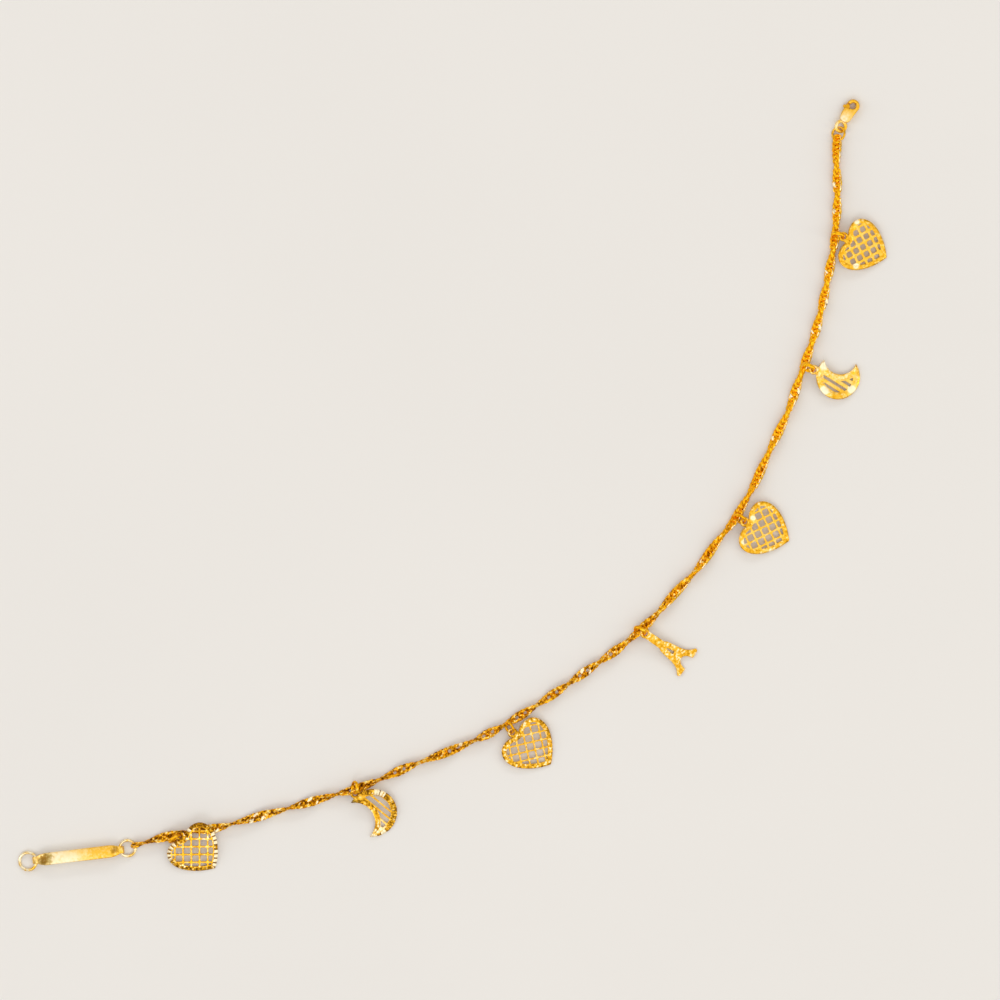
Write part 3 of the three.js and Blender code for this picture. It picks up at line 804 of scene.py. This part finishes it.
def solder(ribbon, number, along):
    """The solder in one gap between two links."""
    # Sunk solder gets painted shade.
    sunk_shaded = number in SUNK_SHADED_GAPS or number < LAST_SUNK_SHADED_RUN and number % 2 == 1
    full = np.interp(number, FILLED_GAPS, (0, 1))
    half_length, half_width, half_height = (least + more * full for least, more in zip(*SOLDER))
    local, faces = bead(half_length, half_width, DEEP_SOLDER_HEIGHT if sunk_shaded else half_height)
    points, _ = ribbon.twisted(along + local[:, 0], local)
    return points, faces, GAP_SHADE if sunk_shaded else WIRE


def chain_links():
    """Every link of the twisted chain, passing through its neighbours, and the solder."""
    ribbon = Ribbon()
    roll = np.random.default_rng(11)
    shells = []
    for number in range(LINK_COUNT):
        gap_before, gap_after = np.interp([number - 1, number], *GAPS_AT)
        along = (gap_before + gap_after) / 2 if number else 0.0
        shells.append(link(ribbon, along, roll))
        if number not in OPEN_GAPS:
            shells.append(solder(ribbon, number, gap_after))
    return shells


chain_finishes = [chain_gold, cut_painted_glint_gold, gap_shade_gold, edge_sheen_gold]
piece("twisted_chain_links", chain_links(), chain_finishes, "chain", sharp=40)

# ---------------------------------------------------------------- charms


def placed(row, outline):
    """Where a charm lies: turned, tilted up towards `rises`, its lowest point on the surface."""
    climb = math.radians(row["rises"])
    hinge = Vector((math.sin(climb), -math.cos(climb), 0))
    tilt = Quaternion(hinge, math.radians(row["lean"])).to_matrix().to_4x4()
    turned = tilt @ Matrix.Rotation(math.radians(row["points"]), 4, "Z")
    lowest = min((turned @ Vector((x, y, 0))).z for x, y in outline)
    return Matrix.Translation(Vector((*row["at"], -lowest))) @ turned


def neck(eye, to):
    """The slab that joins a charm's eye to the charm."""
    along = np.subtract(to, eye)
    side = np.array((-along[1], along[0])) / np.linalg.norm(along) * EYE["neck"]
    start = np.array(eye) + along / np.linalg.norm(along) * EYE["hole"] * 1.25
    return [start - side, to - side, to + side, start + side]


def eye_shells(eye, to):
    """The ring at the end of a charm, and the neck that joins it to the charm."""
    middle = (EYE["outer"] + EYE["hole"]) / 2
    half = (EYE["outer"] - EYE["hole"]) / 2
    ring = torus(middle, half, EYE["wire_height"], 40, 12)
    place = Matrix.Translation(Vector((*eye, CHARM_THICKNESS / 2)))
    return [moved(ring, place), plate(neck(eye, np.array(to)), [], *EYE["neck_heights"], 0.08)]


def heart_outline(size, count=30):
    """A heart that points along X, from its tip round to it again."""
    notch, side, tip = HEART["notch"], HEART["side"], HEART["tip"]
    (lobe_1, lobe_2), (side_1, side_2) = HEART["lobe_bends"], HEART["side_bends"]
    flip = lambda p: (p[0], -p[1])
    parts = [
        bezier(tip, side_2, side_1, side, count),
        bezier(side, lobe_2, lobe_1, notch, count),
        bezier(notch, flip(lobe_1), flip(lobe_2), flip(side), count),
        bezier(flip(side), flip(side_1), flip(side_2), tip, count),
    ]
    return np.concatenate(parts) * size


def heart(row):
    """A heart charm's outline and its shells: lattice, rim, eye and neck."""
    table = HEARTS[row["node"]]
    outer = heart_outline(table["size"])
    inner = inset(outer, HEART["rim"])
    notch = len(outer) // 2
    under_notch = np.array((HEART["notch"][0] + 0.55, 0)) * table["size"]
    for k in range(-3, 4):
        share = 1 - abs(k) / 4
        inner[notch + k] = inner[notch + k] * (1 - share) + under_notch * share
    inner[[-1, 0, 1]] = (inner[2][0] + 0.05, 0)
    pitch, bar = HEART["bar_pitch"] * table["size"], table["bar"]
    holes = cell_holes(inner, pitch, pitch, bar, bar, table["grid"], table["middle"])
    edge = outer + (inner - outer) * 0.72
    section = FACETED if table["cut"] > DEEP_CUT else DOMED
    roll = np.random.default_rng(table["grid"])
    shells = [
        (*plate(edge, holes, *LATTICE, 0.07), PIERCED),
        band(outer, inner, True, section, table["facets"], table["cut"], roll,
             *FACETS.get(row["node"], ())),
        *eye_shells(row["eye"], HEART["notch"]),
    ]
    return outer, shells


def crescent(table, count=120):
    """The two arcs of a crescent, from its lower horn to its upper one."""
    radius, bite, at = table["radius"], table["bite"], table["bite_at"]
    meet = (radius**2 - bite**2 + at**2) / (2 * at)
    tall = math.sqrt(radius**2 - meet**2)
    wide = math.atan2(tall, meet)
    narrow = math.atan2(tall, meet - at)
    outer = arc(radius, np.linspace(-wide, wide, count))
    return outer, arc(bite, np.linspace(-narrow, narrow, count), (at, 0))


def crescent_in(table, share):
    """A crescent's arcs moved in by a share of its two rims' widths."""
    radius = table["radius"] - share * table["rim"]
    return crescent(dict(table, radius=radius, bite=table["bite"] + share * table["inner_rim"]))


def moon(row):
    """A moon charm's outline and its shells: barred middle, two rims, eye and neck."""
    table = MOONS[row["node"]]
    outer, inner = crescent(table)
    outline, edge, window = (
        np.vstack([back, front[-2:0:-1]])
        for back, front in (crescent_in(table, share) for share in (0, 0.15, 1))
    )
    normal = math.radians(table["slant"] + 90)
    middle = np.array((math.cos(normal), math.sin(normal))) * table["offset"]
    across = 30  # longer than any moon, so the bars run from rim to rim
    holes = cell_holes(window, across, MOON_BAR_PITCH, 0, table["bar"], table["slant"], middle)
    from_horn = np.minimum(np.arange(len(outer)), np.arange(len(outer))[::-1])[:, None]
    full = np.clip(from_horn / 26, 0.04, 1)  # both rims narrow towards the horns
    rim_inner = outer * (1 - table["rim"] * 0.92 / table["radius"] * full)
    bite_way = (inner - (table["bite_at"], 0)) / table["bite"]
    bite_outer = inner + bite_way * table["inner_rim"] * 0.9 * full
    section = FACETED if table["cut"] > DEEP_CUT else DOMED
    roll = np.random.default_rng(int(abs(row["points"])) + 5)
    eye = row["eye"]
    shells = [
        (*plate(edge, holes, LATTICE[0], LATTICE[1] - 0.9 * table["cut"], 0.05), PIERCED),
        band(outer, rim_inner, False, section, table["facets"], table["cut"], roll,
             *FACETS.get(row["node"], ())),
        band(bite_outer, inner, False, DOMED, 8, 0.01, roll),
        *eye_shells(eye, (eye[0] * 0.84, eye[1] * 0.84)),
    ]
    return outline, shells


def tower(row):
    """The tower charm's outline and its shells: body, eye and neck."""
    half = TOWER["outline"]
    outline = [(x, -y) for x, y in half] + half[-2::-1]
    shells = [
        plate(round_corners(outline, 0.2), [round_corners(TOWER["window"], 0.1)],
              0, CHARM_THICKNESS, 0.07),
        *eye_shells(row["eye"], (0.9, 0.0)),
    ]
    return outline, shells


# Each charm's gold: tone, contrast, patch size, roughness and grain; then its painted highlights
# (tone raised), painted shade (tone lowered) and painted dark reflections (olive), as round places.
CHARM_GOLD = {
    "heart_charm_1": ((0.5, 1.3, 0.42, 0.3, 0.4), [
        (-3.3, 4.4, 2.6, -0.24), (-1.0, -4.6, 2.0, -0.06), (0.0, 2.6, 1.5, 0.1),
    ]),
    "moon_charm_1": ((0.5, 1.1, 0.42, 0.3, 0.3), [
        (-2.8, -4.0, 1.0, 0.5), (-0.6, -3.0, 3.0, 0.24), (-2.7, 4.1, 1.5, OLIVE_DARK_REFLECTION),
        (0.2, 4.4, 1.4, -0.1), (3.6, 2.4, 1.8, -0.12),
    ]),
    "heart_charm_2": ((0.6, 1.0, 0.36, 0.32, 0.5), [(-4.2, 2.6, 0.9, 0.35)]),
    "tower_charm": ((0.76, 0.6, 0.36, 0.38, 0.5), [(9.4, 1.3, 1.2, -0.12)]),
    "heart_charm_3": ((0.72, 0.5, 0.4, 0.32, 0.25), [
        (-3.3, 1.4, 0.8, 0.35), (-3.05, -4.0, 0.8, 0.35), (2.95, -3.4, 0.7, 0.3),
    ]),
    "moon_charm_2": ((0.84, 0.3, 0.45, 0.32, 0.15), [
        (-3.1, -4.0, 1.1, 0.25), (-1.9, -3.4, 1.2, 0.2), (3.2, -2.6, 1.2, 0.3),
        (2.2, 3.2, 1.1, 0.3), (4.0, 0.6, 2.0, -0.12),
    ]),
    "heart_charm_4": ((0.71, 0.45, 0.4, 0.32, 0.2), [
        (-3.4, 4.3, 0.9, 0.35), (0.25, -4.3, 0.9, 0.35),
    ]),
}


def charm_finishes(node, place):
    """The gold of a charm's rim, of its pierced middle, of facets with a painted glint and of lines of
    painted shade.
    """
    (tone, contrast, size, rough, grain), spots = CHARM_GOLD[node]
    # Rim and middle both carry the charm's painted highlights, shade and dark reflections.
    rim = gold(node + "_rim_gold", tone, contrast, size, rough, grain, spots, place)
    # The middle is smoother than the rim, and paler where the rim is dark.
    tone, contrast, grain = tone * 0.35 + 0.54, 0.4 * contrast, 0.5 * grain
    smooth = gold(node + "_bar_painted_light_gold", tone, contrast, size, rough, grain, spots, place)
    return [rim, smooth, cut_painted_glint_gold, facet_shade_gold]


def ring_piece(name, node, size, centre, heading, pitch, finish=wire_gold):
    """A wire ring whose plane holds the level way `heading` and climbs at `pitch` across it."""
    turned = Matrix.Rotation(heading, 4, "Z") @ Matrix.Rotation(pitch, 4, "X")
    wire = torus(size["radius"], size["wire"], size.get("broad"))
    points, faces = moved(wire, Matrix.Translation(centre - SHIFT) @ turned)
    points[:, 2] = np.clip(points[:, 2], *RING_HEIGHTS)
    piece(name, [(points, faces)], [finish], node)


for number, row in enumerate(CHARMS, 1):
    node = row["node"]
    make = heart if node in HEARTS else moon if node in MOONS else tower
    outline, shells = make(row)
    place = placed(row, outline)
    piece(node + "_cast", shells, charm_finishes(node, place), node, matrix=place)
    eye = place @ Vector((*row["eye"], CHARM_THICKNESS / 2)) + SHIFT
    centre = middle_of(f"charm_ring_{number}")
    heading = math.atan2(eye.y - centre.y, eye.x - centre.x)
    ring_piece(f"charm_jump_ring_{number}", f"charm_ring_{number}",
               dict(CHARM_RING, broad=row["ring_broad"]), centre, heading,
               math.radians(row["ring_pitch"]))

# ---------------------------------------------------------------- bar and its rings


def bar_line():
    """The bar's sheet from the side: x and z of the middle of its thickness, and the thickness."""
    length = math.dist(BAR["from"], BAR["to"])
    outer, bore, thick = BAR["eye_outer"], BAR["eye_bore"], BAR["thickness"]
    rolled = (outer + bore) / 2
    low = 2 * outer - thick / 2
    first, last = BAR["slopes"]

    def eye(middle, angles):
        return [
            (middle + rolled * math.cos(a), outer + rolled * math.sin(a), outer - bore)
            for a in np.radians(angles)
        ]

    def sheet(x, rise):
        thinner = min(x, length - x) <= 0.6
        return x, low + BAR["arch"] * rise, BAR["end_thickness"] if thinner else thick

    def slope(inward, reach):
        return (1 - math.cos(math.pi * min(inward / reach, 1))) / 2

    line = eye(0, np.linspace(-70, -270, 22))
    line += [sheet(x, slope(x, first)) for x in np.linspace(0.35, first, 9)]
    line += [sheet(x, 1) for x in np.linspace(first + 0.4, length - last - 0.4, 24)]
    line += [sheet(length - x, slope(x, last)) for x in np.linspace(last, 0.35, 9)]
    return line + eye(length, np.linspace(90, -110, 22)), length


def bar_shell():
    """The bar with its two rolled eyes, narrower towards them and with rounded upper edges."""
    line, length = bar_line()
    ways = np.gradient(np.array([(x, z) for x, z, _ in line]), axis=0)
    ways /= np.linalg.norm(ways, axis=1)[:, None]
    points = []
    for (x, z, thick), way in zip(line, ways):
        share = min(max(min(x, length - x) / 2.4, 0), 1)
        share = 1 - (1 - share) ** 2
        half = (BAR["eye_width"] + (BAR["width"] - BAR["eye_width"]) * share) / 2
        top = thick / 2
        edge = min(0.16, thick * 0.4)
        section = [
            (-half, edge - top), (-half + edge, -top), (half - edge, -top), (half, edge - top),
            (half, top - edge), (half - edge * 0.5, top - edge * 0.2), (half - edge * 1.4, top),
            (0, top), (-half + edge * 1.4, top), (-half + edge * 0.5, top - edge * 0.2),
            (-half, top - edge),
        ]
        points += [(x - way[1] * up, across, max(z + way[0] * up, 0.01)) for across, up in section]
    count, columns = len(line), len(section)
    faces = grid_faces(count, columns, close_rows=False) + ends_capped(count, columns)
    return np.array(points), [face[::-1] for face in faces]


bar_turn = math.atan2(BAR["to"][1] - BAR["from"][1], BAR["to"][0] - BAR["from"][0])
bar_place = Matrix.Translation(Vector((*BAR["from"], 0))) @ Matrix.Rotation(bar_turn, 4, "Z")
# The bar's spots are painted: a pale highlight over its left and middle, painted shade towards its
# right, and dark olive and brown reflections over its sloping ends.
bar_painted_light_gold = gold("polished_bar_painted_light_gold", 0.86, 0.15, 0.45, 0.3, 0.06, [
    (6.0, -0.4, 7.0, 0.06), (4.6, -0.5, 3.0, 0.06), (7.6, -1.3, 2.6, 0.06), (15.0, 0.4, 6.0, -0.06),
    (2.2, 0.0, 1.8, OLIVE_DARK_REFLECTION), (1.7, 0.1, 1.4, BROWN_DARK_REFLECTION), (16.6, 0.1, 1.0, BROWN_DARK_REFLECTION),
], bar_place)
piece("polished_extender_bar", [bar_shell()], [bar_painted_light_gold], "extender_bar", matrix=bar_place,
      sharp=50)

for node, size, eye in (("end_ring", END_RING, BAR["from"]), ("bar_ring", BAR_RING, BAR["to"])):
    away = math.atan2(size["at"][1] - eye[1], size["at"][0] - eye[0])
    pitch = math.asin((BAR["eye_outer"] - size["wire"]) / (2 * size["radius"]))
    across = away + math.pi / 2
    ring_piece(node + "_wire", node, size, middle_of(node), across, pitch, pale_wire_gold)

# ---------------------------------------------------------------- clasp


def circle(at, radius, count=40):
    """Points of a circle."""
    return arc(radius, np.linspace(0, 2 * np.pi, count, endpoint=False), at)


clasp_place = Matrix.Translation(Vector((*CLASP["at"], 0))) @ Matrix.Rotation(
    math.radians(CLASP["points"]), 4, "Z"
)
ring_from_eye = (clasp_place.inverted() @ Vector((*CHAIN_END_RING["at"], 0))) - Vector(
    (*CLASP["eye_at"], 0)
)


def clasp_body_shells():
    """The hook, the two cheeks beside the lever, what joins them, the pin and the base eye."""
    radius, hole = CLASP["hook_radius"], CLASP["hook_hole"]
    near, far, inner = CLASP["mouth"]
    start = math.atan2(math.sqrt(radius**2 - far**2), far)
    outside = arc(radius, np.linspace(start, -math.pi / 2, 34))
    inside = arc(hole, np.linspace(-math.pi * 1.16, math.acos(far / hole[0]), 26))
    body, _ = smooth_route([outside[-1], *CLASP["body"]], 60)
    outline = [*outside, *body[1:], (near, inner), *inside][::-1]
    thick = CLASP["thickness"]
    low, high = CLASP["slot_heights"]
    slot_near, slot_far = CLASP["slot"]
    ridge = [*outside[outside[:, 0] > slot_far], (slot_far, -1.15), (slot_far, inner)]
    ridge += [*inside[inside[:, 0] > slot_far]]
    base = body[body[:, 0] < slot_near]
    pin = circle(CLASP["pivot"], CLASP["pin"], 20)
    half = (CLASP["eye_outer"] - CLASP["eye_hole"]) / 2
    tilt = Matrix.Rotation(math.radians(CLASP["eye_tilt"]), 4, ring_from_eye.normalized())
    place = Matrix.Translation(Vector((*CLASP["eye_at"], CLASP["eye_height"]))) @ tilt
    return [
        plate(outline, [], 0, low, 0.15, 4),
        plate(outline, [], high, thick, 0.2, 5),
        plate(ridge, [], 0.15, thick - 0.22, 0.05),
        plate(base, [], 0.15, thick - 0.2, 0.05),
        plate(CLASP["spine"], [], 0.16, thick - 0.24, 0.02),
        plate(pin, [], low / 2, (high + thick) / 2, 0.02),
        moved(torus(CLASP["eye_hole"] + half, half, CLASP["eye_wire_height"], 48, 14), place),
    ]


# The clasp's spots are painted: highlights over its base and base eye, and painted shade beside the
# hook's mouth.
clasp_painted_light_gold = gold("cast_clasp_gold", 0.74, 0.2, 0.4, 0.36, 0.08, [
    (-2.7, 0.1, 2.4, 0.15), (-3.4, 0.3, 1.2, 0.12), (-0.9, 1.2, 1.3, -0.06), (-5.3, 0.9, 1.2, 0.2),
], clasp_place)
piece("lobster_clasp_body", clasp_body_shells(), [clasp_painted_light_gold], "clasp_body", matrix=clasp_place)


def lever_shells():
    """The lever's hub with its bore, its arm and its thumb tab."""
    hub, bore = (circle(CLASP["pivot"], LEVER_SHAPE[name]) for name in ("hub", "bore"))
    arm, tab = (round_corners(LEVER_SHAPE[name], 0.15) for name in ("arm", "tab"))
    heights = LEVER_SHAPE["heights"]
    return [
        plate(hub, [bore], *heights, 0.06),
        plate(arm, [], *heights, 0.08),
        plate(tab, [], *LEVER_SHAPE["tab_heights"], 0.1),
    ]


piece("clasp_lever_cast", lever_shells(), [clasp_painted_light_gold], "clasp_lever", body=LEVER,
      matrix=clasp_place)

eye_world = clasp_place @ Vector((*CLASP["eye_at"], 0))
away = math.atan2(CHAIN_END_RING["at"][1] - eye_world.y, CHAIN_END_RING["at"][0] - eye_world.x)
ring_piece("chain_end_jump_ring", "chain_end_ring", CHAIN_END_RING, middle_of("chain_end_ring"), away,
           math.radians(CHAIN_END_RING["pitch"]), clasp_painted_light_gold)

# ---------------------------------------------------------------- surface, lights and camera


def pale_floor():
    """The plain surface that the anklet lies on."""
    finish = Finish("pale_matte_surface")
    place = finish.node("ShaderNodeTexCoord", {}, {}, "Object")
    cloud = finish.node("ShaderNodeTexNoise", {}, {"Vector": place, "Scale": 9.0, "Detail": 3.0}, 0)
    colour = finish.mix(cloud, (0.80, 0.79, 0.77, 1), (0.84, 0.83, 0.81, 1))
    material = finish.finished(Base_Color=colour, Roughness=0.9)
    half = 1.6
    corners = [(-half, -half, 0), (half, -half, 0), (half, half, 0), (-half, half, 0)]
    mesh = bpy.data.meshes.new("surface")
    mesh.from_pydata(corners, [], [(0, 1, 2, 3)])
    mesh.materials.append(material)
    floor = bpy.data.objects.new("surface", mesh)
    bpy.context.collection.objects.link(floor)


def soft_light(name, brightness, size, place, towards=(0, 0, 0), colour=(1, 1, 1)):
    """A rectangular softbox whose face is `brightness` times as bright as a white sheet."""
    light = bpy.data.lights.new(name, "AREA")
    light.energy = brightness * math.pi * size[0] * size[1]
    light.shape = "RECTANGLE"
    light.size, light.size_y = size
    light.color = colour
    holder = bpy.data.objects.new(name, light)
    bpy.context.collection.objects.link(holder)
    holder.location = place
    holder.rotation_euler = (Vector(towards) - Vector(place)).to_track_quat("-Z", "Y").to_euler()


pale_floor()
soft_light("overhead_box", 0.75, (2.4, 2.4), (0.45, -0.45, 2.0))
soft_light("key_box", 3.5, (0.55, 0.55), (-0.35, -1.25, 1.7))
soft_light("left_strip", 3.5, (0.3, 1.6), (-1.5, 0.2, 1.0))
soft_light("far_strip", 3.0, (1.6, 0.3), (0.1, 1.6, 1.1))
soft_light("right_strip", 3.5, (0.3, 1.4), (1.7, -0.3, 0.8), colour=(1.0, 0.95, 0.75))

world = bpy.data.worlds.new("studio")
bpy.context.scene.world = world
world.use_nodes = True
world.node_tree.nodes["Background"].inputs["Color"].default_value = (0.9, 0.85, 0.8, 1)
world.node_tree.nodes["Background"].inputs["Strength"].default_value = 0.62

CAMERA_HEIGHT = 1.5
VIEW_WIDTH = 0.21  # of the surface, across the picture
SENSOR = 36.0
view_middle = Vector((9.9, -3.0, 0)) + SHIFT
lens = bpy.data.cameras.new("camera")
lens.sensor_width = SENSOR
lens.lens = SENSOR * CAMERA_HEIGHT / VIEW_WIDTH
lens.clip_end = 10
camera = bpy.data.objects.new("camera", lens)
bpy.context.collection.objects.link(camera)
camera.location = (view_middle.x * MM, view_middle.y * MM, CAMERA_HEIGHT)
bpy.context.scene.camera = camera
bpy.context.scene.view_settings.view_transform = "Standard"
